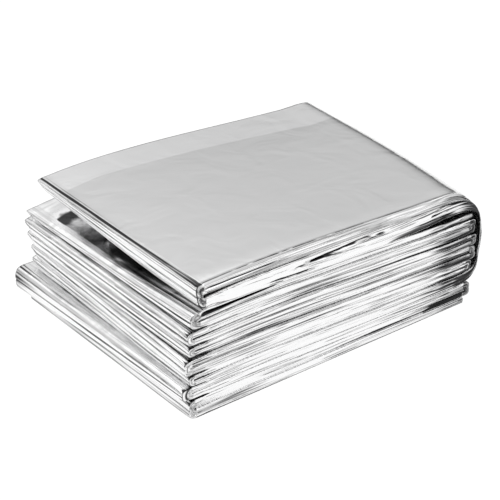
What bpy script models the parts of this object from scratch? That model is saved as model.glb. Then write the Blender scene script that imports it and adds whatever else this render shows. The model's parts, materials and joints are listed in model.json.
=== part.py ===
"""Emergency foil blanket, folded into a loose pack.

A thin metallised film is fan-folded across its width into a strip of sixteen plies. The strip is folded back
and forth into panels, and its last stretch is wrapped round the right end of the pack, over the top and back
under it. The strip is one solid that follows all its folds.

Sizes are in millimetres until the last step. X runs along the pack, Y across it and Z up.
"""
import bmesh
import bpy
from collections import namedtuple
from math import cos, pi, sin

MM = 0.001
PLY_AIR = 0.5            # air between one panel and the next
PANEL_STEPS = 8          # facets along a panel
WIDTH_STEPS = 4          # facets across the strip
LEVEL_LEFT = -60.0       # X of the left heights in the table of panels
LEVEL_RIGHT = 55.0       # X of the right heights
CROWN = 1.8              # how far the panels bulge at the top of the pack
CROWN_HEIGHT = 50.0      # height at which they bulge that much
FLAP_CROWN_FRONT = 0.61  # how much of it the flap has along its front edge

FOLD_REACH = 3.2         # length of a fold beyond the flat of its panels
FOLD_POWER = 2.4         # power of its curve: 2 is an ellipse, and more is squarer
FOLD_STEPS = 6           # facets round a fold
FOLD_EYE = 0.2           # extra length of the small hole inside a fold

FLAP_LIFT_FRONT = 2.2    # air under the raised left edge of the flap
FLAP_LIFT_BACK = 6.6
FLAP_REST_FRONT = -40.0  # X at which the flap comes down on the pack
FLAP_REST_BACK = 12.0
WEDGE_AIR = 3.2          # air under the flap at the wrapped end
WEDGE_START = 8.0

WRAP_CREST = 52.0        # X at which the wrap leaves the flap
WRAP_TUCK = 58.0         # X at which it turns in under the pack
WRAP_MIDDLE = 24.5       # Z of its outermost line
WRAP_STEPS = 7           # facets in each half of the wrap

FILM_COLOUR = (0.80, 0.81, 0.82, 1.0)

# Panels, the lowest first. top_*: height of the upper side, left and right, front and back.
# left_*, right_*: X that each end reaches, in its fold, its wrap or loose. front, back: Y of the long edges.
Panel = namedtuple("Panel", "top_lf top_rf top_lb top_rb left_f left_b right_f right_b front back")
PANELS = (
    Panel(3.6, 2.5, 2.8, 2.6, -67.2, -69.8, 63.8, 64.0, -51.0, 52.2),
    Panel(7.4, 4.9, 5.6, 5.0, -67.2, -69.8, 66.5, 66.4, -50.4, 52.8),
    Panel(10.2, 7.6, 10.8, 7.6, -69.6, -75.2, 66.5, 66.4, -50.2, 53.6),
    Panel(13.0, 9.8, 16.0, 10.0, -69.6, -75.2, 72.0, 72.0, -49.9, 54.0),
    Panel(15.3, 12.7, 18.6, 12.9, -66.7, -69.0, 70.0, 70.0, -50.3, 50.6),
    Panel(17.6, 15.2, 21.0, 15.5, -66.7, -69.0, 65.8, 65.6, -49.8, 50.2),
    Panel(21.0, 18.2, 23.5, 18.4, -68.4, -69.4, 65.8, 65.6, -50.1, 50.5),
    Panel(24.5, 21.1, 26.5, 21.3, -68.4, -69.4, 68.0, 67.8, -50.5, 50.0),
    Panel(26.9, 24.0, 29.6, 24.2, -66.8, -70.3, 68.0, 67.8, -49.9, 50.3),
    Panel(29.2, 26.8, 32.7, 27.0, -66.8, -70.3, 68.1, 67.6, -50.2, 50.6),
    Panel(32.4, 29.3, 35.5, 29.8, -67.0, -71.1, 68.1, 67.6, -50.4, 49.9),
    Panel(35.2, 32.6, 38.2, 32.8, -67.0, -71.1, 66.9, 66.8, -49.9, 50.2),
    Panel(38.3, 35.6, 40.3, 35.6, -65.6, -69.9, 66.9, 66.8, -50.2, 50.4),
    Panel(41.2, 38.3, 42.5, 38.2, -65.6, -69.9, 64.6, 65.0, -49.8, 50.0),
    Panel(48.0, 46.8, 51.0, 45.6, -62.2, -64.6, 70.0, 70.0, -50.6, 50.2),
    Panel(51.9, 50.0, 53.1, 48.8, -62.2, -64.6, 72.0, 72.0, -50.4, 50.4),
)
OUTER_TUCK = 3           # the outer wrap turns into this panel
INNER_TUCK = 4           # the inner wrap turns into this one
PACK_TOP = 13            # the top of the pack, with the strip's first end
FLAP_UNDER = 14
FLAP_TOP = 15

# The two sides of each layer of the wrap, the one towards the pack first. inset: distance inside its reach.
# crest_*, tuck: power of the curve above and below its outermost line. A higher power turns a tighter corner.
WrapSide = namedtuple("WrapSide", "inset crest_f crest_b tuck")
OUTER_WRAP = (WrapSide(1.4, 2.3, 5.6, 3.5), WrapSide(0.0, 2.1, 5.2, 3.0))
INNER_WRAP = (WrapSide(1.1, 2.8, 6.0, 4.3), WrapSide(0.0, 2.3, 5.5, 3.4))


def mix(a, b, share):
    return a + (b - a) * share


def clamp(value):
    return min(max(value, 0.0), 1.0)


def level(index, x, across):
    """Height of a panel's upper side at x, at a share of the way across from the front to the back."""
    panel = PANELS[index]
    along = clamp((x - LEVEL_LEFT) / (LEVEL_RIGHT - LEVEL_LEFT))
    left = mix(panel.top_lf, panel.top_lb, across)
    right = mix(panel.top_rf, panel.top_rb, across)
    height = mix(left, right, along)
    crown = CROWN * height / CROWN_HEIGHT
    if index >= FLAP_UNDER:
        crown *= mix(FLAP_CROWN_FRONT, 1.0, across)
    return height + crown * 6.75 * along * (1.0 - along) ** 2


def flap_air(x, across):
    """Air under the flap: wide at the raised left edge, none in the middle, and some at the wrapped end."""
    lift = mix(FLAP_LIFT_FRONT, FLAP_LIFT_BACK, across)
    rest = mix(FLAP_REST_FRONT, FLAP_REST_BACK, across)
    raised = clamp((rest - x) / (rest - LEVEL_LEFT)) ** 2
    wedge = clamp((x - WEDGE_START) / (LEVEL_RIGHT - WEDGE_START)) ** 2
    return lift * raised + WEDGE_AIR * wedge


def upper(index, x, across):
    return level(index, x, across) - PLY_AIR / 2


def lower(index, x, across):
    if index == 0:
        return 0.0
    height = level(index - 1, x, across) + PLY_AIR / 2
    if index == FLAP_UNDER:
        height += flap_air(x, across)
    return height


def edge(index, across):
    return mix(PANELS[index].front, PANELS[index].back, across)


def fold_tip(index, side, across):
    panel = PANELS[index]
    if side < 0:
        return mix(panel.left_f, panel.left_b, across)
    return mix(panel.right_f, panel.right_b, across)


def fold_root(index, side, across):
    return fold_tip(index, side, across) - side * FOLD_REACH


def panel_run(index, start, end, across):
    """Stations along a panel, each a point on its lower side and one on its upper side."""
    y = edge(index, across)
    stations = []
    for step in range(PANEL_STEPS + 1):
        x = mix(start, end, step / PANEL_STEPS)
        stations.append(((x, y, lower(index, x, across)), (x, y, upper(index, x, across))))
    return stations


def fold_run(first, last, side, across):
    """Stations round a fold from one panel to its neighbour, each a point inside the fold and one outside."""
    below, above = min(first, last), max(first, last)
    root = fold_root(below, side, across)
    bottom, eye_bottom = lower(below, root, across), upper(below, root, across)
    eye_top, top = lower(above, root, across), upper(above, root, across)
    eye_reach = (eye_top - eye_bottom) / 2 + FOLD_EYE
    turn = 1.0 if last > first else -1.0
    stations = []
    for step in range(1, FOLD_STEPS):
        share = step / FOLD_STEPS
        y = mix(edge(first, across), edge(last, across), share)
        angle = pi * (share - 0.5)
        out = side * cos(angle) ** (2.0 / FOLD_POWER)
        rise = abs(sin(angle)) ** (2.0 / FOLD_POWER)
        up = (1.0 + (rise if angle * turn > 0.0 else -rise)) / 2
        inside = (root + out * eye_reach, y, mix(eye_bottom, eye_top, up))
        outside = (root + out * FOLD_REACH, y, mix(bottom, top, up))
        stations.append((inside, outside))
    return stations


def wrap_run(above, below, sides, across):
    """Stations down the wrap from one panel to another, each a point inside the wrap and one outside."""
    tops = (lower(above, WRAP_CREST, across), upper(above, WRAP_CREST, across))
    tucks = (upper(below, WRAP_TUCK, across), lower(below, WRAP_TUCK, across))
    stations = []
    for step in range(1, 2 * WRAP_STEPS):
        angle = pi / 2 * (1.0 - step / WRAP_STEPS)
        y = mix(edge(above, across), edge(below, across), step / (2 * WRAP_STEPS))
        points = []
        for side, top, tuck in zip(sides, tops, tucks):
            if angle >= 0.0:
                reach = fold_tip(above, 1, across) - side.inset
                power = 2.0 / mix(side.crest_f, side.crest_b, across)
                x = mix(WRAP_CREST, reach, cos(angle) ** power)
                z = mix(WRAP_MIDDLE, top, sin(angle) ** power)
            else:
                reach = fold_tip(below, 1, across) - side.inset
                power = 2.0 / side.tuck
                x = mix(WRAP_TUCK, reach, cos(angle) ** power)
                z = mix(WRAP_MIDDLE, tuck, sin(-angle) ** power)
            points.append((x, y, z))
        stations.append(tuple(points))
    return stations


def swapped(stations):
    return [(second, first) for first, second in stations]


def zigzag(top, bottom, start, end, across):
    """Stations down a zigzag of panels, from the first one's start, on the right, to the last one's end."""
    stations = []
    for index in range(top, bottom - 1, -1):
        left = fold_root(index, -1, across)
        right = fold_root(index, 1, across)
        if (top - index) % 2 == 0:
            stations += panel_run(index, start if index == top else right, left, across)
            stations += fold_run(index, index - 1, -1, across)
        else:
            stations += swapped(panel_run(index, left, end if index == bottom else right, across))
            if index > bottom:
                stations += swapped(fold_run(index, index - 1, 1, across))
    return stations


def strip(across):
    """The two sides of the strip, from end to end, at a share of the way across it."""
    first_end = fold_tip(PACK_TOP, 1, across)
    last_end = fold_tip(0, 1, across)
    flap_left = fold_root(FLAP_TOP, -1, across)
    stations = zigzag(PACK_TOP, INNER_TUCK, first_end, WRAP_TUCK, across)
    stations += reversed(wrap_run(FLAP_UNDER, INNER_TUCK, INNER_WRAP, across))
    stations += panel_run(FLAP_UNDER, WRAP_CREST, flap_left, across)
    stations += swapped(fold_run(FLAP_UNDER, FLAP_TOP, -1, across))
    stations += swapped(panel_run(FLAP_TOP, flap_left, WRAP_CREST, across))
    stations += swapped(wrap_run(FLAP_TOP, OUTER_TUCK, OUTER_WRAP, across))
    stations += zigzag(OUTER_TUCK, 0, WRAP_TUCK, last_end, across)
    return stations


def strip_mesh(name):
    """The strip as one closed mesh: its two sides, its two long edges and its two ends."""
    rows = [strip(step / WIDTH_STEPS) for step in range(WIDTH_STEPS + 1)]
    corners = [point[:2] for row in rows for station in row for point in station]
    middle_x, middle_y = [(min(values) + max(values)) / 2 for values in zip(*corners)]
    bm = bmesh.new()
    grid = []
    for row in rows:
        grid.append([])
        for station in row:
            pair = [bm.verts.new(((x - middle_x) * MM, (y - middle_y) * MM, z * MM)) for x, y, z in station]
            grid[-1].append(pair)
    last = len(grid[0]) - 1
    for near, far in zip(grid, grid[1:]):
        for side in (0, 1):
            for step in range(last):
                bm.faces.new((near[step][side], near[step + 1][side], far[step + 1][side], far[step][side]))
        for step in (0, last):
            bm.faces.new((near[step][0], near[step][1], far[step][1], far[step][0]))
    for row in (grid[0], grid[-1]):
        for here, there in zip(row, row[1:]):
            bm.faces.new((here[0], here[1], there[1], there[0]))
    bmesh.ops.recalc_face_normals(bm, faces=bm.faces)
    mesh = bpy.data.meshes.new(name)
    bm.to_mesh(mesh)
    bm.free()
    return mesh


def film_material():
    material = bpy.data.materials.new("film")
    material.use_nodes = True
    shader = material.node_tree.nodes["Principled BSDF"]
    shader.inputs["Base Color"].default_value = FILM_COLOUR
    shader.inputs["Metallic"].default_value = 1.0
    shader.inputs["Roughness"].default_value = 0.22
    return material


for leftover in list(bpy.data.objects):
    bpy.data.objects.remove(leftover, do_unlink=True)

blanket_mesh = strip_mesh("foil_blanket")
blanket_mesh.materials.append(film_material())
blanket = bpy.data.objects.new("foil_blanket", blanket_mesh)
bpy.context.scene.collection.objects.link(blanket)
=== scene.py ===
import json
from collections import namedtuple
from math import cos, dist, exp, pi, radians, sin

import bmesh
import bpy
from mathutils import Matrix, Vector, noise

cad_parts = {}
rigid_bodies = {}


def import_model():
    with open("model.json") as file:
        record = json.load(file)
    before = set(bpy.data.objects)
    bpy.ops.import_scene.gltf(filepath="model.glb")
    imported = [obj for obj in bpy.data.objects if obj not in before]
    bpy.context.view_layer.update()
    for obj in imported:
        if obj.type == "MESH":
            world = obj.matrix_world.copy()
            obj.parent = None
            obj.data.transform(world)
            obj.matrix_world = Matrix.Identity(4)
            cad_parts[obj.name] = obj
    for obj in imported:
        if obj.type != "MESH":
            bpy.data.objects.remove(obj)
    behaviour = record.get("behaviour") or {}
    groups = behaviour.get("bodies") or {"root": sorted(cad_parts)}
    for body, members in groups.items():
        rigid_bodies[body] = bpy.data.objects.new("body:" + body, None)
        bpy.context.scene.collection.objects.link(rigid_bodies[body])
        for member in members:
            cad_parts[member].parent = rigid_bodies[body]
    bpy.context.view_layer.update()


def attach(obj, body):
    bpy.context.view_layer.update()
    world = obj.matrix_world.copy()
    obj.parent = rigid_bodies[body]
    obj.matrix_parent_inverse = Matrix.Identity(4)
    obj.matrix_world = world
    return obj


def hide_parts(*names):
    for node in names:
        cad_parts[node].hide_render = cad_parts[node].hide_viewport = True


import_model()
for thing in bpy.data.objects:
    thing.select_set(False)

# Camera. It stands in front and to the left of the pack and looks down on it at about 30 degrees, from close
# enough for a mild perspective. Its aim lies a little left of and above the middle of the pack's footprint.
CAMERA_AZIMUTH = radians(37.2)
CAMERA_ELEVATION = radians(29.8)
CAMERA_DISTANCE = 0.655
CAMERA_LENS = 120.3         # in millimetres, as is the sensor's width
CAMERA_SENSOR = 36.0
AIM_RIGHT = -0.0016
AIM_UP = 0.0194
PACK_MIDDLE_X = -0.0016     # middle of the CAD box, for the places that the table of panels gives
PACK_MIDDLE_Y = 0.0015

camera_back = Vector((
    -sin(CAMERA_AZIMUTH) * cos(CAMERA_ELEVATION),
    -cos(CAMERA_AZIMUTH) * cos(CAMERA_ELEVATION),
    sin(CAMERA_ELEVATION),
))
camera_right = (-camera_back).cross(Vector((0.0, 0.0, 1.0))).normalized()
camera_up = camera_right.cross(-camera_back)
aim = camera_right * AIM_RIGHT + camera_up * AIM_UP - Vector((PACK_MIDDLE_X, PACK_MIDDLE_Y, 0.0))
camera_data = bpy.data.cameras.new("camera")
camera_data.lens = CAMERA_LENS
camera_data.sensor_width = CAMERA_SENSOR
camera = bpy.data.objects.new("camera", camera_data)
bpy.context.scene.collection.objects.link(camera)
turn = Matrix((camera_right, camera_up, camera_back)).transposed().to_4x4()
camera.matrix_world = Matrix.Translation(aim + camera_back * CAMERA_DISTANCE) @ turn
bpy.context.scene.camera = camera

# Folded film. The blanket is one sheet of thin metallised film, fan-folded across its width into a strip of
# plies about 100 mm wide. The strip goes back and forth in sixteen panels. The two highest make a loose flap,
# which is wrapped round the right end. Sizes are in millimetres until the mesh is made.
MM = 0.001
LEVEL_LEFT = -60.0          # X of the left heights in the table of panels, and of the right ones
LEVEL_RIGHT = 55.0
CROWN = 1.8                 # bulge of a panel at this height, and the lower ones have less
CROWN_HEIGHT = 50.0
CROWN_GAIN = 6.75           # brings the curve of the bulge to a height of one
FLAP_CROWN_FRONT = 0.61     # how much of it the flap has along its front edge

# Panels, the lowest first. top_*: height of the upper side, left and right, front and back.
# left_*, right_*: X that each end reaches, in its fold, its wrap or loose. front, back: Y of the long edges.
Panel = namedtuple("Panel", "top_lf top_rf top_lb top_rb left_f left_b right_f right_b front back")
PANELS = (
    Panel(3.6, 2.5, 2.8, 2.6, -67.2, -69.8, 63.4, 64.0, -51.0, 52.2),
    Panel(7.4, 4.9, 5.6, 5.0, -67.2, -69.8, 67.3, 67.0, -50.4, 52.8),
    Panel(10.2, 8.1, 10.8, 7.9, -69.6, -75.2, 67.3, 67.0, -50.2, 53.6),
    Panel(13.0, 9.8, 16.0, 10.0, -69.6, -75.2, 71.8, 72.0, -49.9, 54.0),
    Panel(15.3, 12.7, 18.6, 12.9, -66.7, -69.0, 70.8, 70.2, -50.3, 50.6),
    Panel(17.6, 15.2, 21.0, 15.5, -66.7, -69.0, 67.4, 66.4, -49.8, 50.2),
    Panel(21.0, 18.2, 23.5, 18.4, -68.4, -69.4, 67.4, 66.4, -50.1, 50.5),
    Panel(24.5, 21.1, 26.5, 21.3, -68.4, -69.4, 69.0, 67.8, -50.5, 50.0),
    Panel(26.9, 24.0, 29.6, 24.2, -66.8, -70.3, 69.0, 67.8, -49.9, 50.3),
    Panel(29.2, 26.8, 32.7, 27.0, -66.8, -70.3, 69.2, 67.6, -50.2, 50.6),
    Panel(32.4, 29.3, 35.5, 29.8, -67.0, -71.1, 69.2, 67.6, -50.4, 49.9),
    Panel(35.2, 32.6, 38.2, 32.8, -67.0, -71.1, 68.2, 66.8, -49.9, 50.2),
    Panel(38.3, 35.6, 40.3, 35.6, -65.6, -69.9, 68.2, 66.8, -50.2, 50.4),
    Panel(41.2, 38.3, 42.5, 38.2, -65.6, -69.9, 66.4, 65.0, -49.8, 50.0),
    Panel(48.0, 47.0, 51.0, 45.6, -62.2, -64.6, 71.6, 70.8, -50.6, 50.2),
    Panel(51.9, 49.8, 53.1, 48.8, -62.2, -64.6, 72.7, 72.0, -50.4, 50.4),
)
OUTER_TUCK = 3              # the outer wrap turns into this panel
INNER_TUCK = 4              # the inner wrap turns into this one
PACK_TOP = 13               # the top of the pack, with the strip's first end
FLAP_UNDER = 14
FLAP_TOP = 15

# Share of the way across the strip of each line of points on its two skins, closer together at the rims and
# at the soft crease along the back of the top.
ACROSS = (0.0, 0.003, 0.007, 0.011, 0.016, 0.03, 0.07, 0.14, 0.23, 0.34, 0.47, 0.6, 0.72, 0.8, 0.846, 0.85,
          0.854, 0.9, 0.96, 0.996, 1.0)
SEAM_ACROSS = 0.85          # the line of points that follows that crease
SEAM_SPAN = 0.004           # share from it to the lines of points on both sides of it
NOISE_GAIN = 1.6            # Blender's noise keeps within about 0.6 of zero
SEED_APART = (7.31, 1.7)    # distance from one seed's line through the noise to the next


def mix(a, b, share):
    return a + (b - a) * share


def clamp(value):
    return min(max(value, 0.0), 1.0)


def wander(seed, distance, length):
    """A slow, smooth change between about -1 and 1 along a distance, other for each seed."""
    place = Vector((distance / length, seed * SEED_APART[0], seed * SEED_APART[1]))
    return noise.noise(place) * NOISE_GAIN


# Looseness of the layers: their heights wander a little, and the air between them opens towards the folds. It
# is least low in the pack, where the weight of the film presses them. AIR is for a panel and the next one up.
LEVEL_WANDER = 0.26
LEVEL_WANDER_LENGTH = 38.0
LEVEL_WANDER_ACROSS = 1.7   # how fast that changes across a panel, and from one panel to the next
LEVEL_WANDER_APART = 2.7
AIR = (0.04, 0.07, 0.06, 0.09, 0.09, 0.1, 0.2, 0.18, 0.1, 0.16, 0.18, 0.15, 0.16, 0.12, 0.04, 0.2)
AIR_AT_FOLDS = 0.45
LOW_AIR_AT_FOLDS = 0.15     # the same for the panels under the inner tuck
FAN_LENGTH = 15.0           # length over which that air opens
POCKET_AIR = 0.9            # air between two left folds at the front corner
POCKET_START = -57.5
POCKET_SHARE = 0.06         # share of the way across over which a pocket closes
DROOP_START = -57.0         # the top of the pack droops towards its left fold from here
DROOP_END = -66.0
DROOP_FRONT = 2.6
DROOP_BACK = 0.8
SWELLS = ((-57.0, 1.9), (-40.0, 0.5))      # X and height of two swells in its front part
SWELL_LENGTH = 8.0
SWELL_SHARE = 0.3
FLAP_MOUTH = 1.0            # air between the flap's two panels at its left front corner
FLAP_MOUTH_START = -22.0
FLAP_MOUTH_CLOSING = 5.0    # how fast it closes across the flap


def level(index, x, across):
    """Height of a panel's upper side at x, at a share of the way across from the front to the back."""
    panel = PANELS[index]
    along = clamp((x - LEVEL_LEFT) / (LEVEL_RIGHT - LEVEL_LEFT))
    left = mix(panel.top_lf, panel.top_lb, across)
    right = mix(panel.top_rf, panel.top_rb, across)
    height = mix(left, right, along)
    bulge = CROWN_GAIN * along * (1.0 - along) ** 2
    crown = CROWN * height / CROWN_HEIGHT
    if index >= FLAP_UNDER:
        crown *= mix(FLAP_CROWN_FRONT, 1.0, across)
    height += crown * bulge
    if index < FLAP_TOP:
        place = Vector((x / LEVEL_WANDER_LENGTH, LEVEL_WANDER_ACROSS * across, LEVEL_WANDER_APART * index))
        height += LEVEL_WANDER * NOISE_GAIN * noise.noise(place)
        if index == PACK_TOP:
            droop = clamp((DROOP_START - x) / (DROOP_START - DROOP_END))
            height -= mix(DROOP_FRONT, DROOP_BACK, across) * droop ** 2
            for middle, swell in SWELLS:
                height += swell * exp(-((x - middle) / SWELL_LENGTH) ** 2 - (across / SWELL_SHARE) ** 2)
        return height
    return height + top_relief(x, edge(index, True, across, x))


def air(index, x, across):
    """Air between a panel and the next one up."""
    at_left = clamp((LEVEL_LEFT + FAN_LENGTH - x) / FAN_LENGTH)
    at_right = clamp((x - LEVEL_RIGHT + FAN_LENGTH) / FAN_LENGTH)
    at_folds = AIR_AT_FOLDS if index >= INNER_TUCK else LOW_AIR_AT_FOLDS
    gap = mix(AIR[index], at_folds, min(at_left + at_right, 1.0) ** 2)
    if index % 2 == 1 and index < PACK_TOP:
        pocket = clamp((POCKET_START - x) / (POCKET_START - LEVEL_LEFT))
        gap += POCKET_AIR * pocket * clamp(1.0 - across / POCKET_SHARE) ** 2
    if index == FLAP_UNDER:
        mouth = clamp((FLAP_MOUTH_START - x) / (FLAP_MOUTH_START - LEVEL_LEFT))
        gap += FLAP_MOUTH * mouth * clamp(1.0 - FLAP_MOUTH_CLOSING * across) ** 2
    return gap


# Flap: the two highest panels. Their left edge is raised off the pack, and at the wrapped end a wedge of air
# lies between them and it. The top's front rim is drawn back from the panel below.
FLAP_LIFT_FRONT = 0.6
FLAP_LIFT_BACK = 6.6
FLAP_REST_FRONT = -43.0     # X at which the flap comes down on the pack
FLAP_REST_BACK = 12.0
FLAP_LIFT_POWER = 1.3       # how it curves up from there
WEDGE_AIR = 2.9
WEDGE_START = 8.0
TOP_FRONT = -48.5
TOP_BACK = 49.9


def flap_air(x, across):
    """Air under the flap: wide at the raised left edge, none in the middle, and some at the wrapped end."""
    lift = mix(FLAP_LIFT_FRONT, FLAP_LIFT_BACK, across)
    rest = mix(FLAP_REST_FRONT, FLAP_REST_BACK, across)
    raised = clamp((rest - x) / (rest - LEVEL_LEFT)) ** FLAP_LIFT_POWER
    wedge = clamp((x - WEDGE_START) / (LEVEL_RIGHT - WEDGE_START)) ** 2
    return lift * raised + WEDGE_AIR * wedge


# Seam: the soft crease along the back of the top, where the plies under it end. It is a table of points.
SeamPoint = namedtuple("SeamPoint", "x y dip")
SEAM = (
    SeamPoint(-80.0, 34.0, 0.10),
    SeamPoint(-58.0, 35.6, 0.14),
    SeamPoint(-45.0, 36.7, 0.14),
    SeamPoint(-23.0, 35.4, 0.16),
    SeamPoint(0.0, 34.7, 0.20),
    SeamPoint(24.0, 33.6, 0.26),
    SeamPoint(47.0, 31.7, 0.26),
    SeamPoint(60.0, 29.0, 0.10),
    SeamPoint(80.0, 25.0, 0.05),
)
SEAM_HALF = 0.4             # half the distance over which the film bends there
SEAM_DIP_LENGTH = 8.0       # length of the dip in front of it
BEND_LINE = 1.3             # distance of the crisp line along the front of the top from its rim
BEND_DEPTH = 0.22
BEND_WIDTH = 0.45
Wave = namedtuple("Wave", "height seed skew length")
WAVE_ALONG = Wave(0.12, 3.0, 0.6, 60.0)    # two low waves in the slack film of the top, each a little askew
WAVE_ACROSS = Wave(0.1, 5.0, -0.3, 42.0)


def seam(x):
    """Y of the seam and the depth of its dip at x."""
    for here, there in zip(SEAM, SEAM[1:]):
        if x < there.x:
            share = (x - here.x) / (there.x - here.x)
            return mix(here.y, there.y, share), mix(here.dip, there.dip, share)
    return SEAM[-1].y, SEAM[-1].dip


def top_relief(x, y):
    """Height that slackness, the seam and the bend along the front add to the top of the flap."""
    along, across = WAVE_ALONG, WAVE_ACROSS
    height = along.height * wander(along.seed, x + along.skew * y, along.length)
    height += across.height * wander(across.seed, y + across.skew * x, across.length)
    seam_y, dip = seam(x)
    if y < seam_y:
        height -= dip * exp((y - seam_y) / SEAM_DIP_LENGTH)
    else:
        height -= dip * (TOP_BACK - y) / (TOP_BACK - seam_y)
    height -= BEND_DEPTH * exp(-((y - TOP_FRONT - BEND_LINE) / BEND_WIDTH) ** 2)
    return height


def edge(index, upper_side, across, x):
    """Y across one side of a panel. On the top one line of points follows the seam."""
    if index < FLAP_TOP or not upper_side:
        return mix(PANELS[index].front, PANELS[index].back, across)
    seam_y = seam(x)[0]
    if across <= SEAM_ACROSS - SEAM_SPAN:
        return mix(TOP_FRONT, seam_y - SEAM_HALF, across / (SEAM_ACROSS - SEAM_SPAN))
    if across < SEAM_ACROSS + SEAM_SPAN:
        return seam_y
    behind = (across - SEAM_ACROSS - SEAM_SPAN) / (1.0 - SEAM_ACROSS - SEAM_SPAN)
    return mix(seam_y + SEAM_HALF, TOP_BACK, behind)


def upper(index, x, across):
    """Height of a panel's upper skin."""
    return level(index, x, across) - air(index, x, across) / 2


def lower(index, x, across):
    """Height of a panel's lower skin."""
    if index == 0:
        return 0.0
    height = level(index - 1, x, across) + air(index - 1, x, across) / 2
    if index == FLAP_UNDER:
        height += flap_air(x, across)
    return height


# Runs of the strip. A station is a point on each skin and a tag, which is its panel's number. On a fold the
# tag is LOOSE plus the lower panel's number, and on a wrap it is LOOSE plus the upper one's. turned says that
# the first skin is the upper or outer one. The last field is how much painted shade lies between the plies
# there.
Station = namedtuple("Station", "first second tag turned gape")
PANEL_STEPS = 50
END_CROWDING = 0.72         # how much closer together the stations are at a panel's ends
FOLD_STEPS = 20
FLAP_FOLD_STEPS = 40
WRAP_STEPS = 14
STRIP_WIDTH = 100.0
FOLD_EYE = 0.5              # length of the hole inside a fold
FOLD_WANDER = 0.25          # how far a fold's reach wanders along it, and the length and the seed of that
FOLD_WANDER_LENGTH = 50.0
FOLD_SEED = 20.0
PINCH_WANDER = 0.4          # the same for the depth of its pinch, as a share
PINCH_WANDER_LENGTH = 40.0
PINCH_SEED = 40.0
WRAP_CREST = 52.0           # X at which the wrap leaves the flap
WRAP_TUCK = 58.0            # X at which it turns into its lower panel
WRAP_MIDDLE = 24.5          # Z of its outermost line
LOOSE = 100                 # the tag of a fold or wrap starts here

# Folds, by the number of their lower panel. reach: length beyond the flat of the panels. power: 2 is an
# ellipse, and more is squarer. pinch: depth of the crease along the tip. The rest are as FOLD is.
Fold = namedtuple("Fold", "reach power pinch")
FOLD = Fold(3.2, 4.4, 0.45)
FOLDS = {
    0: Fold(3.2, 4.6, 0.3),
    1: Fold(3.4, 5.0, 0.2),
    2: Fold(5.0, 3.0, 0.3),
    12: Fold(4.4, 3.0, 0.4),
    14: Fold(3.2, 4.0, 0.5),
}
CORNER_POWER = 3.2          # the power at the near corner, and the share of the way across to where it ends
CORNER_SHARE = 0.05
TIP_SHARE = 0.96            # share of the way across from which the upper left folds are pressed to a tip
TIP_HEIGHT = 0.35           # the tip's share of their height, and how far up them it lies
TIP_UP = 0.85
FOLD_GAPE = 0.3             # painted shade between the plies on a fold, on the flap's one and on the one on the table
FLAP_FOLD_GAPE = 0.36
LOW_FOLD_GAPE = 0.24
PINCH_GAPE = 0.85           # painted shade in the crease along the tip
CREVICE_GAPE = 0.38         # painted shade close to the next fold, up to a share of a fold's height
CREVICE_SHARE = 0.06
CREVICE_LOWEST = 5          # folds above this one have it at the bottom
CREVICE_HIGHEST = 12        # and folds below this one at the top
POCKET_GAPE = 0.9           # painted shade at the front corner, where dark pockets open between the folds
POCKET_SIDE = 0.2
POCKET_WIDTH = 0.02         # share of the way across over which they close
LIP_GAPE_FRONT = 0.78       # painted dark reflection on the flap's upper lip, which lies between two shares of its fold's reach
LIP_GAPE_BACK = 0.64
LIP_FROM = 0.4
LIP_TO = 0.77
LIP_TOP = 0.9               # share of the fold's height above which it lies
LIP_EDGE_GAPE = 0.5         # painted shade from the top panel to the lip
BASE_GAPE = 0.75            # painted shade of the fold on the table at its bottom, up to a share of its height
BASE_TO = 0.4

# The two sides of each layer of the wrap, the one towards the pack first. inset: distance inside its reach.
# crest_*, tuck: power of the curve above and below its outermost line. A higher power turns a tighter corner.
WrapSide = namedtuple("WrapSide", "inset crest_f crest_b tuck")
OUTER_WRAP = (WrapSide(0.6, 2.35, 5.6, 4.6), WrapSide(0.0, 2.1, 5.2, 4.0))
INNER_WRAP = (WrapSide(0.5, 3.9, 6.0, 4.5), WrapSide(0.0, 2.7, 5.5, 4.0))


def fold_tip(index, side, across):
    """X that a panel's fold, wrap or loose end reaches, on the left for side -1 and on the right for 1."""
    panel = PANELS[index]
    if side < 0:
        return mix(panel.left_f, panel.left_b, across)
    return mix(panel.right_f, panel.right_b, across)


def fold_reach(index):
    """Length of the fold above a panel, beyond the flat of the panels."""
    return FOLDS.get(index, FOLD).reach


def fold_root(index, side, across):
    """X at which a panel ends and its fold starts."""
    pair = index - 1 if (index % 2 == 1) == (side < 0) else index
    return fold_tip(index, side, across) - side * fold_reach(pair)


def panel_run(index, start, end, across):
    """Stations along a panel, the points of its lower skin first."""
    stations = []
    for step in range(PANEL_STEPS + 1):
        share = step / PANEL_STEPS
        x = mix(start, end, share - END_CROWDING * sin(2.0 * pi * share) / (2.0 * pi))
        below = (x, edge(index, False, across, x), lower(index, x, across))
        above = (x, edge(index, True, across, x), upper(index, x, across))
        stations.append(Station(below, above, index, False, 0.0))
    return stations


def fold_gap_shade(below, out, up, across):
    """Painted shade in the gaps between the plies on a fold, for shares of its reach and of its height."""
    if below == FLAP_UNDER:
        if up <= LIP_TOP or out >= LIP_TO:
            return FLAP_FOLD_GAPE
        return mix(LIP_GAPE_FRONT, LIP_GAPE_BACK, across) if out > LIP_FROM else LIP_EDGE_GAPE
    if below == 0:
        return mix(BASE_GAPE, LOW_FOLD_GAPE, clamp(up / BASE_TO))
    return FOLD_GAPE


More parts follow.
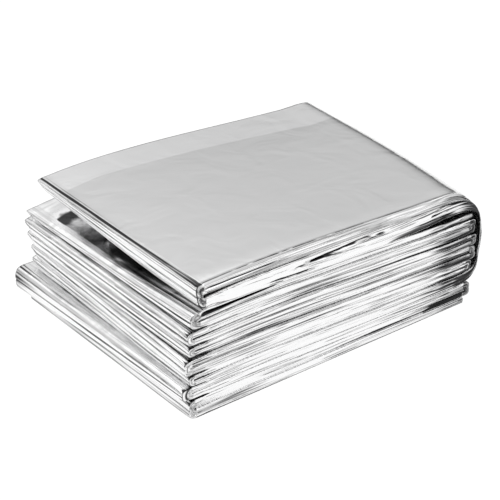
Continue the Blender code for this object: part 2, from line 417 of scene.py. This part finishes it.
def fold_run(first, last, side, across):
    """Stations round a fold from one panel to its neighbour, the points inside the fold first."""
    below, above = min(first, last), max(first, last)
    shape = FOLDS.get(below, FOLD)
    root = fold_root(below, side, across)
    bottom, eye_bottom = lower(below, root, across), upper(below, root, across)
    eye_top, top = lower(above, root, across), upper(above, root, across)
    eye_reach = (eye_top - eye_bottom) / 2 + FOLD_EYE
    y = STRIP_WIDTH * across
    reach = fold_reach(below) + FOLD_WANDER * wander(below + FOLD_SEED, y, FOLD_WANDER_LENGTH)
    pinch = shape.pinch * (1.0 + PINCH_WANDER * wander(below + PINCH_SEED, y, PINCH_WANDER_LENGTH))
    power = shape.power
    if side < 0:
        power = mix(CORNER_POWER, power, clamp(across / CORNER_SHARE))
    turn = 1.0 if last > first else -1.0
    steps = FLAP_FOLD_STEPS if below == FLAP_UNDER else FOLD_STEPS
    pocket = clamp(1.0 - across / POCKET_WIDTH)
    stations = []
    for step in range(1, steps):
        angle = pi * (step / steps - 0.5)
        radius = (cos(angle) ** power + abs(sin(angle)) ** power) ** (1.0 / power)
        out = cos(angle) / radius
        up = (1.0 + turn * sin(angle) / radius) / 2
        tip = out * reach - (pinch if 2 * step == steps else 0.0)
        pressed = mix(1.0, TIP_HEIGHT, out * clamp((across - TIP_SHARE) / (1.0 - TIP_SHARE)))
        inside_y = mix(edge(below, True, across, root), edge(above, False, across, root), up)
        outside_y = mix(edge(below, False, across, root), edge(above, True, across, root), up)
        inside = (root + side * out * eye_reach, inside_y, mix(eye_bottom, eye_top, up))
        tip_up = mix(TIP_UP, up, pressed) if side < 0 and below > OUTER_TUCK else up
        outside = (root + side * tip, outside_y, mix(bottom, top, tip_up))
        gape = PINCH_GAPE if 2 * step == steps else fold_gap_shade(below, out, up, across)
        crevice = mix(CREVICE_SHARE, POCKET_SIDE, pocket)
        at_bottom = up < crevice and below > CREVICE_LOWEST
        at_top = up > 1.0 - crevice and below < CREVICE_HIGHEST
        if at_bottom or at_top:
            gape = mix(CREVICE_GAPE, POCKET_GAPE, pocket)
        stations.append(Station(inside, outside, below + LOOSE, False, gape))
    return stations


def wrap_run(above, below, sides, across):
    """Stations down the wrap from one panel to another, the points inside the wrap first."""
    tops = (lower(above, WRAP_CREST, across), upper(above, WRAP_CREST, across))
    tucks = (upper(below, WRAP_TUCK, across), lower(below, WRAP_TUCK, across))
    stations = []
    for step in range(1, 2 * WRAP_STEPS):
        angle = pi / 2 * (1.0 - step / WRAP_STEPS)
        share = step / (2 * WRAP_STEPS)
        points = []
        for outer, side, top, tuck in zip((False, True), sides, tops, tucks):
            y = mix(edge(above, outer, across, WRAP_CREST), edge(below, not outer, across, WRAP_TUCK), share)
            if angle >= 0.0:
                reach = fold_tip(above, 1, across) - side.inset
                power = 2.0 / mix(side.crest_f, side.crest_b, across)
                x = mix(WRAP_CREST, reach, cos(angle) ** power)
                z = mix(WRAP_MIDDLE, top, sin(angle) ** power)
            else:
                reach = fold_tip(below, 1, across) - side.inset
                power = 2.0 / side.tuck
                x = mix(WRAP_TUCK, reach, cos(angle) ** power)
                z = mix(WRAP_MIDDLE, tuck, sin(-angle) ** power)
            points.append((x, y, z))
        stations.append(Station(points[0], points[1], above + LOOSE, False, 0.0))
    return stations


def swapped(stations):
    """The same stations with their two skins exchanged."""
    return [Station(here.second, here.first, here.tag, not here.turned, here.gape) for here in stations]


def zigzag(top, bottom, start, end, across):
    """Stations down a zigzag of panels, from the first one's start, on the right, to the last one's end."""
    stations = []
    for index in range(top, bottom - 1, -1):
        left = fold_root(index, -1, across)
        right = fold_root(index, 1, across)
        if (top - index) % 2 == 0:
            stations += panel_run(index, start if index == top else right, left, across)
            stations += fold_run(index, index - 1, -1, across)
        else:
            stations += swapped(panel_run(index, left, end if index == bottom else right, across))
            if index > bottom:
                stations += swapped(fold_run(index, index - 1, 1, across))
    return stations


def strip(across):
    """The two skins of the strip, from end to end, at a share of the way across it."""
    first_end = fold_tip(PACK_TOP, 1, across)
    last_end = fold_tip(0, 1, across)
    flap_left = fold_root(FLAP_TOP, -1, across)
    stations = zigzag(PACK_TOP, INNER_TUCK, first_end, WRAP_TUCK, across)
    stations += reversed(wrap_run(FLAP_UNDER, INNER_TUCK, INNER_WRAP, across))
    stations += panel_run(FLAP_UNDER, WRAP_CREST, flap_left, across)
    stations += swapped(fold_run(FLAP_UNDER, FLAP_TOP, -1, across))
    stations += swapped(panel_run(FLAP_TOP, flap_left, WRAP_CREST, across))
    stations += swapped(wrap_run(FLAP_TOP, OUTER_TUCK, OUTER_WRAP, across))
    stations += zigzag(OUTER_TUCK, 0, WRAP_TUCK, last_end, across)
    return stations


# Rims: the strip's long edges, where the folded plies show as soft rolls with faint grooves in them. Low in
# the pack the rolls are flatter. Towards both ends of the pack they are crumpled into short streaks.
FRONT_STEPS = 28
BACK_STEPS = 14

# For each panel: how far its rim stands out, as a share of its thickness, how much painted shade lies between
# its plies there, and how much painted soft shade lies low on it.
ROLL = (0.05, 0.06, 0.06, 0.07, 0.07, 0.08, 0.11, 0.12, 0.11, 0.12, 0.12, 0.12, 0.12, 0.12, 0.08, 0.03)
PLY_GAPE = (0.49, 0.47, 0.43, 0.38, 0.36, 0.35, 0.34, 0.34, 0.34, 0.34, 0.34, 0.34, 0.34, 0.36, 0.34, 0.36)
SHADE = (0.1, 0.2, 0.2, 0.3, 0.5, 0.6, 0.8, 1.0, 0.8, 0.9, 1.0, 0.9, 0.8, 0.5, 0.2, 0.2)
SOFTNESS = 0.16             # softness of the painted dark lines between the plies
SHADE_GAPE = 0.2            # painted shade that full soft shade adds, and how quickly it fades up the rim
SHADE_POWER = 2.2
SHADE_CHANGE = 0.6          # how much it changes along the rim, and the length and the seed of that
SHADE_CHANGE_LENGTH = 45.0
SHADE_SEED = 70.0
WRAP_GAPE = 0.95            # painted shade and dark reflection at the rim of the wrap, and at its crest
WRAP_CREST_GAPE = 0.55
WRAP_CREST_HEIGHT = 42.0    # Z from which the wrap's crest starts
WRAP_CREST_END = 68.0       # X at which it ends in the inner layer
TURN_GAPE = 0.66            # painted shade at the rims of the right folds
NOSE_GAPE = 0.44            # painted shade at those of the left folds, and how much it differs from fold to fold
NOSE_CHANGE = 0.12
FLAP_NOSE_GAPE = 0.48
NOSE_SOFTNESS = 0.2         # how much softer the dark lines are on the folds
FOLD_ROLL = 0.5             # how much flatter the rolls are on the folds and wraps
ROLL_MOST = 0.7             # how far a roll may stand out
ROLL_POWER = 0.85           # its section, which is flatter for a lower power
ROLL_CHANGE = 0.5           # how much it changes along the rim, and the length and the seed of that
ROLL_CHANGE_LENGTH = 40.0
ROLL_SEED = 50.0
GROOVE_WIDTH = 0.22         # grooves between the plies: two along each rim, with some painted shade in them
GROOVE_DEPTH = 0.4
GROOVE_GAPE = 0.1
GROOVE_LEAST = 0.3          # their depth's even part, to which a changing one is added
GROOVE_CHANGE_LENGTH = 36.0
GROOVE_SEED = 11.0
GROOVE_SHIFT = 0.1          # how far they wander up and down, as a share of the thickness
GROOVE_SHIFT_LENGTH = 60.0
GROOVE_THIN = 1.2           # a strip this thin has none, and the distance over which they grow
GROOVE_GROWTH = 1.5
FOLD_GROOVE = 0.5           # how much shallower they are on the folds and wraps
TAG_APART = 10.0            # distance from one fold to the next in a change from fold to fold, and its length
TAG_LENGTH = 7.0
STREAK_GAPE = 0.26          # how much more painted shade the streaks have, and the same under the outer tuck
LOW_STREAK_GAPE = 0.12
STREAK_DEPTH = 0.5
STREAK_LENGTH = 7.0
STREAK_HEIGHT = 0.9
NOSE_STREAK_DEPTH = 0.9     # the same on the left folds
NOSE_STREAK_LENGTH = 2.0
CRUMPLE_RIGHT = 34.0        # X at which the crumpling starts
CRUMPLE_LEFT = -50.0
CRUMPLE_REACH = 20.0        # and the distance over which it grows
FLAP_CRUMPLE = 0.75         # strength, start and reach of the flap's
FLAP_CRUMPLE_START = -4.0
FLAP_CRUMPLE_REACH = 32.0

# Slits: gaping grooves in the front rim of a panel, widest at their first end. z_*: height at each end.
# A slit is a real groove, darkened further with painted shade.
SLIT_POWER = 0.25           # how slowly a slit gets shallower
SLIT_BLUNT = 14.0           # how abruptly it starts
SLIT_TAPER = 0.6            # its width at the last end, as a share
Slit = namedtuple("Slit", "panel first last z_first z_last depth width")
SLITS = (
    Slit(15, -58.6, -26.0, 50.0, 50.3, 0.8, 0.24),
    Slit(14, -40.0, -14.0, 48.6, 49.6, 1.2, 0.40),
    Slit(13, -61.0, -27.0, 40.9, 40.8, 1.6, 0.60),
    Slit(14, -15.0, 12.0, 45.1, 46.7, 2.4, 0.66),
    Slit(14, -12.0, 9.0, 45.2, 43.8, 1.5, 0.36),
    Slit(14, -15.2, -21.0, 45.0, 45.4, 1.4, 0.30),
    Slit(14, -12.3, -23.4, 42.2, 42.7, 1.8, 0.40),
    Slit(14, -24.6, -32.0, 43.0, 43.7, 0.8, 0.26),
    Slit(14, -27.6, -30.0, 40.5, 40.5, 1.2, 0.50),
    Slit(13, 7.0, 21.0, 40.4, 40.2, 0.8, 0.34),
    Slit(14, 21.0, 14.0, 46.3, 45.7, 0.8, 0.34),
    Slit(14, 60.0, 44.0, 44.6, 44.6, 0.9, 0.30),
    Slit(14, 56.0, 38.0, 42.6, 42.8, 0.7, 0.26),
    Slit(14, 68.0, 22.0, 42.0, 40.2, 0.45, 1.50),
    Slit(1, 64.0, 44.0, 4.3, 3.0, 1.0, 1.50),
)
FULL_GROOVES = {14: 0.98, 0: 0.04}      # panels with a groove all along the front, and how far up it lies
# Its depth, which is also the painted shade in it.
FULL_GROOVE_DEPTH = 0.3
Groove = namedtuple("Groove", "share depth width gape")


def crumpling(x, tag):
    """How strongly the rims are crumpled at x."""
    if tag in (FLAP_UNDER, FLAP_TOP):
        return FLAP_CRUMPLE * clamp((x - FLAP_CRUMPLE_START) / FLAP_CRUMPLE_REACH)
    return clamp((x - CRUMPLE_RIGHT) / CRUMPLE_REACH) + clamp((CRUMPLE_LEFT - x) / CRUMPLE_REACH)


def from_fold_to_fold(seed, tag):
    """A change between about -1 and 1 that is other for each fold."""
    return wander(seed, TAG_APART * tag, TAG_LENGTH)


def rim_grooves(station, outward, run, seed):
    """Grooves of a rim at a station. share is how far a groove lies from the first skin to the second."""
    first, second, tag, turned = station[:4]
    thick = dist(first, second)
    grooves = []
    for number in (1, 2):
        share = number / 3 + GROOVE_SHIFT * wander(seed + number, run, GROOVE_SHIFT_LENGTH)
        depth = GROOVE_DEPTH * (GROOVE_LEAST + wander(seed + number + GROOVE_SEED, run, GROOVE_CHANGE_LENGTH))
        depth *= clamp((thick - GROOVE_THIN) / GROOVE_GROWTH)
        if tag >= LOOSE:
            depth *= FOLD_GROOVE * (1.0 + from_fold_to_fold(seed + number, tag))
        grooves.append(Groove(share, max(depth, 0.0), GROOVE_WIDTH, GROOVE_GAPE))
    if outward > 0.0:
        return grooves
    if tag % LOOSE in FULL_GROOVES:
        share = FULL_GROOVES[tag % LOOSE]
        share = 1.0 - share if turned else share
        grooves.append(Groove(share, FULL_GROOVE_DEPTH, GROOVE_WIDTH, FULL_GROOVE_DEPTH))
    for slit in SLITS:
        along = (first[0] - slit.first) / (slit.last - slit.first)
        if slit.panel == tag and 0.0 < along < 1.0:
            share = clamp((mix(slit.z_first, slit.z_last, along) - first[2]) / (second[2] - first[2]))
            part = (1.0 - along) ** SLIT_POWER * clamp(along * SLIT_BLUNT)
            width = slit.width * mix(1.0, SLIT_TAPER, along)
            grooves.append(Groove(share, slit.depth * part, width, part * min(slit.depth, 1.0)))
    return grooves


def ply_gap_shade(station, seed):
    """Painted shade in the gaps between the plies at the rim at a station."""
    first, second, tag = station[:3]
    x = first[0]
    panel = tag % LOOSE
    if tag < LOOSE:
        streak_shade = STREAK_GAPE if tag >= OUTER_TUCK else LOW_STREAK_GAPE
        return PLY_GAPE[panel] + streak_shade * crumpling(x, tag) ** 2
    if x < 0.0 and panel == FLAP_UNDER:
        return FLAP_NOSE_GAPE
    if x < 0.0:
        return NOSE_GAPE + NOSE_CHANGE * from_fold_to_fold(seed, tag)
    if panel < FLAP_UNDER:
        return TURN_GAPE
    if max(first[2], second[2]) <= WRAP_CREST_HEIGHT:
        return WRAP_GAPE
    if panel == FLAP_TOP:
        return WRAP_CREST_GAPE
    return mix(WRAP_GAPE, WRAP_CREST_GAPE, clamp((WRAP_CREST_END - x) / (WRAP_CREST_END - WRAP_CREST)))


def rim(station, outward, run, seed):
    """Points between the two skins at one rim of the strip. Each has its place, its distance from the first
    skin, how much painted shade lies between the plies there and how soft those painted dark lines are."""
    first, second, tag, turned = station[:4]
    thick = dist(first, second)
    x = first[0]
    roll = min(ROLL[tag % LOOSE] * thick, ROLL_MOST)
    roll *= 1.0 + ROLL_CHANGE * wander(seed + ROLL_SEED, run, ROLL_CHANGE_LENGTH)
    streaks, streak_length = STREAK_DEPTH * crumpling(x, tag), STREAK_LENGTH
    softness = SOFTNESS
    shade = 0.0
    if tag < LOOSE:
        shade = SHADE_GAPE * SHADE[tag]
        shade *= 1.0 + SHADE_CHANGE * wander(seed + tag + SHADE_SEED, run, SHADE_CHANGE_LENGTH)
    else:
        roll *= FOLD_ROLL
        if x < 0.0:
            streaks, streak_length = NOSE_STREAK_DEPTH, NOSE_STREAK_LENGTH
        if x < 0.0 or tag < FLAP_UNDER + LOOSE:
            softness += NOSE_SOFTNESS
    plies = ply_gap_shade(station, seed)
    grooves = rim_grooves(station, outward, run, seed)
    steps = FRONT_STEPS if outward < 0.0 else BACK_STEPS
    points = []
    for step in range(1, steps):
        share = (1.0 - cos(pi * step / steps)) / 2
        swell = sin(pi * share) ** ROLL_POWER
        out = roll * swell
        low = shade * (share if turned else 1.0 - share) ** SHADE_POWER
        gape = plies + low
        for groove in grooves:
            near = exp(-((share - groove.share) * thick / groove.width) ** 2)
            out -= groove.depth * near
            gape += groove.gape * near
        streak = noise.noise(Vector((run / streak_length, share * thick / STREAK_HEIGHT, seed)))
        out += streaks * swell * streak
        px, py, pz = (mix(a, b, share) for a, b in zip(first, second))
        points.append(((px, py + outward * out, pz), share * thick, min(gape, 1.0), softness + low))
    return points


# Skins: how the film looks on the strip's two faces. On the folds the plies show as fine lines of painted
# shade, and the top of the pack has marbled painted shade in the hollow under the flap.
CRINKLE = 0.2               # how strongly the film is crinkled, and the same on the flap's top and the pack's
FLAP_CRINKLE = 0.14
PACK_CRINKLE = 0.35
FOLD_SOFTNESS = 0.26        # softness of the lines on the folds, and on the fold on the table
LOW_FOLD_SOFTNESS = 0.45
LOW_FOLD_SHARE = 0.82       # share of the way across from which the two lowest folds have more painted shade, and how much
LOW_FOLD_MORE = 0.26
CREASE_GAPE = 0.8           # painted shade of the crease along the front of the top, and its share of the way across
CREASE_SHARE = 0.005
LEDGE_GAPE = 0.1            # painted shade between the plies on the ledge of the lowest ones
LEDGE_START = -58.0

# The hollow, for shares of the way across: how dark its painted shade is there and how soft its marbling.
Shade = namedtuple("Shade", "across gape softness")
CAVITY = (
    Shade(0.0, 0.4, 0.6),
    Shade(0.14, 0.26, 1.0),
    Shade(0.3, 0.22, 1.0),
    Shade(0.47, 0.32, 0.9),
    Shade(0.6, 0.48, 0.7),
    Shade(0.72, 0.5, 0.5),
    Shade(0.8, 0.38, 0.4),
    Shade(0.846, 0.95, 0.3),
    Shade(1.0, 0.95, 0.3),
)
CAVITY_LEFT = -66.2         # X of its left edge, and of that edge's front end
CAVITY_FRONT = -58.0
CAVITY_TURN = 0.1           # share of the way across at which the edge turns left, and over which it does
CAVITY_TURN_REACH = 0.25
CAVITY_WIDTH_BACK = 0.9     # distance over which the painted shade darkens the film, at both ends of the edge
CAVITY_WIDTH_FRONT = 4.0
CAVITY_SHARE = 0.9          # share of the way across at which it ends
CAVITY_FADE_BACK = 0.04     # shares over which it fades towards the back and the front
CAVITY_FADE_FRONT = 0.05


def shine(tag, across, outer_side):
    """Painted reflection: which copy of the film's colour a point has. The big top face has a dimmer one, up
    to the seam.
    """
    if not outer_side or tag % LOOSE != FLAP_TOP:
        return 1.0
    return clamp((across - SEAM_ACROSS) / (2.0 * SEAM_SPAN) + 0.5)


def crumple(tag, outer_side):
    """How strongly the film is crinkled."""
    if tag % LOOSE == FLAP_TOP and outer_side:
        return FLAP_CRINKLE
    if tag == PACK_TOP and outer_side:
        return PACK_CRINKLE
    return CRINKLE


def fold_grain(station, outer_side, x, across):
    """The same as skin_grain, on a fold or a wrap. The wrap's outer skin shows no grain."""
    wrapped = station.tag % LOOSE >= FLAP_UNDER and x > 0.0
    grain = 0.0 if wrapped and outer_side else 1.0
    gape = station.gape
    if station.tag < OUTER_TUCK + LOOSE:
        gape += LOW_FOLD_MORE * clamp((across - LOW_FOLD_SHARE) / (1.0 - LOW_FOLD_SHARE))
    softness = LOW_FOLD_SOFTNESS if station.tag == LOOSE else FOLD_SOFTNESS
    return grain, gape, softness


def cavity_grain(x, across):
    """The same as skin_grain, on the top of the pack, with the painted shade of the hollow under the flap."""
    turned = clamp((across - CAVITY_TURN) / CAVITY_TURN_REACH)
    inside = x - mix(CAVITY_FRONT, CAVITY_LEFT, turned)
    dark = clamp(inside / mix(CAVITY_WIDTH_FRONT, CAVITY_WIDTH_BACK, across))
    dark *= clamp((CAVITY_SHARE - across) / CAVITY_FADE_BACK)
    dark *= clamp(across / CAVITY_FADE_FRONT)
    for here, there in zip(CAVITY, CAVITY[1:]):
        if across <= there.across:
            break
    share = (across - here.across) / (there.across - here.across)
    return clamp(-inside), mix(here.gape, there.gape, share) * dark, mix(here.softness, there.softness, share)


def skin_grain(station, outer_side, x, across):
    """How much of the plies' grain shows at a point of a skin, how much painted shade lies there and how
    softly.
    """
    if station.tag >= LOOSE:
        return fold_grain(station, outer_side, x, across)
    if not outer_side:
        return 1.0, 0.0, SOFTNESS
    if station.tag == PACK_TOP:
        return cavity_grain(x, across)
    if station.tag == FLAP_TOP:
        return 0.0, (CREASE_GAPE if across < CREASE_SHARE else 0.0), SOFTNESS
    if station.tag == OUTER_TUCK and x < LEDGE_START:
        return 1.0, LEDGE_GAPE, SOFTNESS
    return 1.0, 0.0, SOFTNESS


# Mesh of the strip. skin_*, rim_*: places along and across the grain of the plies, on a skin and on a rim.
Corner = namedtuple("Corner", "place skin_along skin_across rim_along rim_across "
                              "shine crumple grain gape softness")
FIELDS = Corner._fields[5:]
BACK_SEED = 60.0            # makes the back rim's irregularities other than the front one's


def strip_rings():
    """Rings of corners round the strip, one at each station."""
    rows = [strip(across) for across in ACROSS]
    rings = []
    runs = [0.0, 0.0]
    before = rows[0][0][:2]
    for number, station in enumerate(rows[0]):
        ends = station[:2]
        runs = [run + dist(a, b) for run, a, b in zip(runs, before, ends)]
        before = ends
        skins = []
        for side, depth in ((0, 0.0), (1, dist(*ends))):
            outer_side = (side == 1) != station.turned
            skin = []
            for row, across in zip(rows, ACROSS):
                place = row[number][side]
                grain, gape, softness = skin_grain(row[number], outer_side, place[0], across)
                skin.append(Corner(place, place[1], runs[side], runs[0], depth,
                                   shine(station.tag, across, outer_side), crumple(station.tag, outer_side),
                                   grain, gape, softness))
            skins.append(skin)
        sides = []
        for row, outward, seed in ((rows[-1], 1.0, BACK_SEED), (rows[0], -1.0, 0.0)):
            sides.append([Corner(place, 0.0, 0.0, runs[0] + seed, depth, 1.0, CRINKLE, 1.0, gape, softness)
                          for place, depth, gape, softness in rim(row[number], outward, runs[0], seed)])
        rings.append(skins[0] + sides[0] + skins[1][::-1] + sides[1][::-1])
    return rings


def strip_mesh(name):
    """A closed skin round the strip, through its rings of corners, with their looks as attributes."""
    bm = bmesh.new()
    layers = {field: bm.verts.layers.float.new(field) for field in FIELDS}
    grain_map = bm.loops.layers.uv.new("ply_lines")
    rings = strip_rings()
    loops = []
    for ring in rings:
        loops.append([])
        for corner in ring:
            x, y, z = corner.place
            vertex = bm.verts.new((x * MM - PACK_MIDDLE_X, y * MM - PACK_MIDDLE_Y, z * MM))
            for field, layer in layers.items():
                vertex[layer] = getattr(corner, field)
            loops[-1].append(vertex)
    count = len(rings[0])
    skin = len(ACROSS)
    second = skin + BACK_STEPS - 1
    for number in range(len(rings) - 1):
        for step in range(count):
            after = (step + 1) % count
            places = ((number, step), (number, after), (number + 1, after), (number + 1, step))
            face = bm.faces.new([loops[ring][place] for ring, place in places])
            on_skin = step < skin - 1 or second <= step < second + skin - 1
            for loop, (ring, place) in zip(face.loops, places):
                corner = rings[ring][place]
                along, across = corner.skin_along, corner.skin_across
                if not on_skin:
                    along, across = corner.rim_along, corner.rim_across
                loop[grain_map].uv = (along * MM, across * MM)
    # The cut ends of the strip are closed by faces from skin to skin, and one more at each rim.
    for ring in (loops[0], loops[-1]):
        for step in range(skin - 1):
            far = second + skin - 1 - step
            bm.faces.new((ring[step], ring[step + 1], ring[far - 1], ring[far]))
        bm.faces.new(ring[skin - 1:second + 1])
        bm.faces.new(ring[second + skin - 1:] + ring[:1])
    bmesh.ops.recalc_face_normals(bm, faces=bm.faces)
    mesh = bpy.data.meshes.new(name)
    bm.to_mesh(mesh)
    bm.free()
    return mesh


# Film: silver metal with a soft sheen. Lengths are in metres, and scales are noise features to the metre.
# Painted reflection: the top in front of the seam gets a dimmer copy of the film, so the band behind it shows
# brighter.
DIM_TOP_FILM = (0.82, 0.82, 0.822, 1.0)
FILM_COLOUR = (0.92, 0.92, 0.923, 1.0)
# Painted shade: the dark colour that the film takes between its plies, in its creases and in the hollow.
GAP_SHADE_COLOUR = (0.035, 0.035, 0.036, 1.0)
FILM_ROUGHNESS = 0.18
GRAIN_LENGTH = 0.045        # length of the lines between the plies, their spacing and their depth
GRAIN_SPACING = 0.0010
GRAIN_DEPTH = 0.0003
CRINKLE_SCALE = 70.0
CRINKLE_DISTORTION = 0.8
CRINKLE_DEPTH = 0.002
MARBLING_SCALE = 120.0
MARBLING_DISTORTION = 1.0
MARBLING_SEED = 3.0
NOISE_DETAIL = 2.0
GAP_SHADE_SHARE = 0.8            # these turn painted shade into the value of the pattern below which the film is dark
GAP_SHADE_START = -0.1


def film_noise(nodes, scale, distortion):
    texture = nodes.new("ShaderNodeTexNoise")
    texture.inputs["Scale"].default_value = scale
    texture.inputs["Detail"].default_value = NOISE_DETAIL
    texture.inputs["Distortion"].default_value = distortion
    return texture


def film_bump(nodes, distance):
    bump = nodes.new("ShaderNodeBump")
    bump.inputs["Distance"].default_value = distance
    return bump


def film_material():
    """Silver film: a bright metal skin with faint crinkles, and painted shade where its plies gape and in its
    hollows.
    """
    material = bpy.data.materials.new("silver_film")
    material.use_nodes = True
    nodes, links = material.node_tree.nodes, material.node_tree.links
    shader = nodes["Principled BSDF"]
    shader.inputs["Metallic"].default_value = 1.0
    shader.inputs["Roughness"].default_value = FILM_ROUGHNESS
    values = {}
    for field in FIELDS:
        values[field] = nodes.new("ShaderNodeAttribute")
        values[field].attribute_name = field
    # Painted reflection: a dimmer copy of the film's colour on the top in front of the seam.
    film = nodes.new("ShaderNodeMix")
    film.data_type = "RGBA"
    film.inputs["A"].default_value = DIM_TOP_FILM
    film.inputs["B"].default_value = FILM_COLOUR
    links.new(values["shine"].outputs["Fac"], film.inputs["Factor"])

    grain_map = nodes.new("ShaderNodeUVMap")
    grain_map.uv_map = "ply_lines"
    stretch = nodes.new("ShaderNodeMapping")
    stretch.inputs["Scale"].default_value = (1.0 / GRAIN_LENGTH, 1.0 / GRAIN_SPACING, 1.0)
    links.new(grain_map.outputs["UV"], stretch.inputs["Vector"])
    plies = film_noise(nodes, 1.0, 0.0)
    links.new(stretch.outputs["Vector"], plies.inputs["Vector"])
    place = nodes.new("ShaderNodeTexCoord")
    crinkle = film_noise(nodes, CRINKLE_SCALE, CRINKLE_DISTORTION)
    links.new(place.outputs["Object"], crinkle.inputs["Vector"])
    marbling = film_noise(nodes, MARBLING_SCALE, MARBLING_DISTORTION)
    marbling.noise_dimensions = "4D"
    marbling.inputs["W"].default_value = MARBLING_SEED
    links.new(place.outputs["Object"], marbling.inputs["Vector"])
    pattern = nodes.new("ShaderNodeMix")
    links.new(values["grain"].outputs["Fac"], pattern.inputs["Factor"])
    links.new(marbling.outputs["Fac"], pattern.inputs["A"])
    links.new(plies.outputs["Fac"], pattern.inputs["B"])

    # Painted shade: where the pattern falls below the painted shade's threshold, the film takes the dark
    # colour.
    edge_low = nodes.new("ShaderNodeMath")
    edge_low.operation = "MULTIPLY_ADD"
    edge_low.inputs[1].default_value = GAP_SHADE_SHARE
    edge_low.inputs[2].default_value = GAP_SHADE_START
    links.new(values["gape"].outputs["Fac"], edge_low.inputs[0])
    edge_high = nodes.new("ShaderNodeMath")
    edge_high.operation = "ADD"
    links.new(edge_low.outputs["Value"], edge_high.inputs[0])
    links.new(values["softness"].outputs["Fac"], edge_high.inputs[1])
    bright = nodes.new("ShaderNodeMapRange")
    bright.interpolation_type = "SMOOTHSTEP"
    links.new(pattern.outputs["Result"], bright.inputs["Value"])
    links.new(edge_low.outputs["Value"], bright.inputs["From Min"])
    links.new(edge_high.outputs["Value"], bright.inputs["From Max"])
    colour = nodes.new("ShaderNodeMix")
    colour.data_type = "RGBA"
    colour.inputs["A"].default_value = GAP_SHADE_COLOUR
    links.new(bright.outputs["Result"], colour.inputs["Factor"])
    links.new(film.outputs["Result"], colour.inputs["B"])
    links.new(colour.outputs["Result"], shader.inputs["Base Color"])

    crinkle_bump = film_bump(nodes, CRINKLE_DEPTH)
    links.new(values["crumple"].outputs["Fac"], crinkle_bump.inputs["Strength"])
    links.new(crinkle.outputs["Fac"], crinkle_bump.inputs["Height"])
    grain_bump = film_bump(nodes, GRAIN_DEPTH)
    links.new(values["grain"].outputs["Fac"], grain_bump.inputs["Strength"])
    links.new(plies.outputs["Fac"], grain_bump.inputs["Height"])
    links.new(crinkle_bump.outputs["Normal"], grain_bump.inputs["Normal"])
    links.new(grain_bump.outputs["Normal"], shader.inputs["Normal"])
    return material


blanket_mesh = strip_mesh("folded_film")
blanket_mesh.materials.append(film_material())
blanket = bpy.data.objects.new("folded_film", blanket_mesh)
bpy.context.scene.collection.objects.link(blanket)
blanket_mesh.shade_smooth()
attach(blanket, "root")
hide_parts("foil_blanket")

# Floor. A plain white table top, wide enough to fill the view. It glows evenly, so that no shadow shows on
# it, and the film reflects it as white.
FLOOR_SIDE = 6.0
bpy.ops.mesh.primitive_plane_add(size=FLOOR_SIDE)
table_top = bpy.context.object
table_top.name = "table_top"
white = bpy.data.materials.new("white_paper")
white.use_nodes = True
white_shader = white.node_tree.nodes["Principled BSDF"]
white_shader.inputs["Base Color"].default_value = (0.05, 0.05, 0.05, 1.0)
white_shader.inputs["Roughness"].default_value = 0.9
white_shader.inputs["Specular IOR Level"].default_value = 0.1
white_shader.inputs["Emission Color"].default_value = (1.0, 1.0, 1.0, 1.0)
white_shader.inputs["Emission Strength"].default_value = 1.0
table_top.data.materials.append(white)

# Studio light. A bright room above a white table, dim towards the horizon, and one large soft lamp. SKY is
# the room's grey for the height of a direction: 0 is level and 1 is straight up. The camera sees plain white.
SKY = ((0.0, 0.06), (0.1, 0.1), (0.2, 0.45), (0.35, 0.64), (0.5, 0.716), (0.62, 0.8), (0.78, 1.35))

bpy.context.scene.view_settings.view_transform = "Standard"
world = bpy.data.worlds.new("studio")
bpy.context.scene.world = world
world.use_nodes = True
nodes, links = world.node_tree.nodes, world.node_tree.links
background = nodes["Background"]
direction = nodes.new("ShaderNodeTexCoord")
split = nodes.new("ShaderNodeSeparateXYZ")
links.new(direction.outputs["Generated"], split.inputs["Vector"])
ramp = nodes.new("ShaderNodeValToRGB")
links.new(split.outputs["Z"], ramp.inputs["Fac"])
while len(ramp.color_ramp.elements) < len(SKY):
    ramp.color_ramp.elements.new(0.5)
for stop, (height, grey) in zip(ramp.color_ramp.elements, SKY):
    stop.position = height
    stop.color = (grey, grey, grey, 1.0)

rays = nodes.new("ShaderNodeLightPath")
seen = nodes.new("ShaderNodeMix")
seen.data_type = "RGBA"
links.new(rays.outputs["Is Camera Ray"], seen.inputs["Factor"])
links.new(ramp.outputs["Color"], seen.inputs["A"])
seen.inputs["B"].default_value = (1.0, 1.0, 1.0, 1.0)
links.new(seen.outputs["Result"], background.inputs["Color"])

bpy.ops.object.light_add(type="AREA", location=(-0.2, -0.1, 1.4))
lamp = bpy.context.object
lamp.name = "soft_lamp"
lamp.data.shape = "DISK"
lamp.data.size = 1.0
lamp.data.energy = 2.5
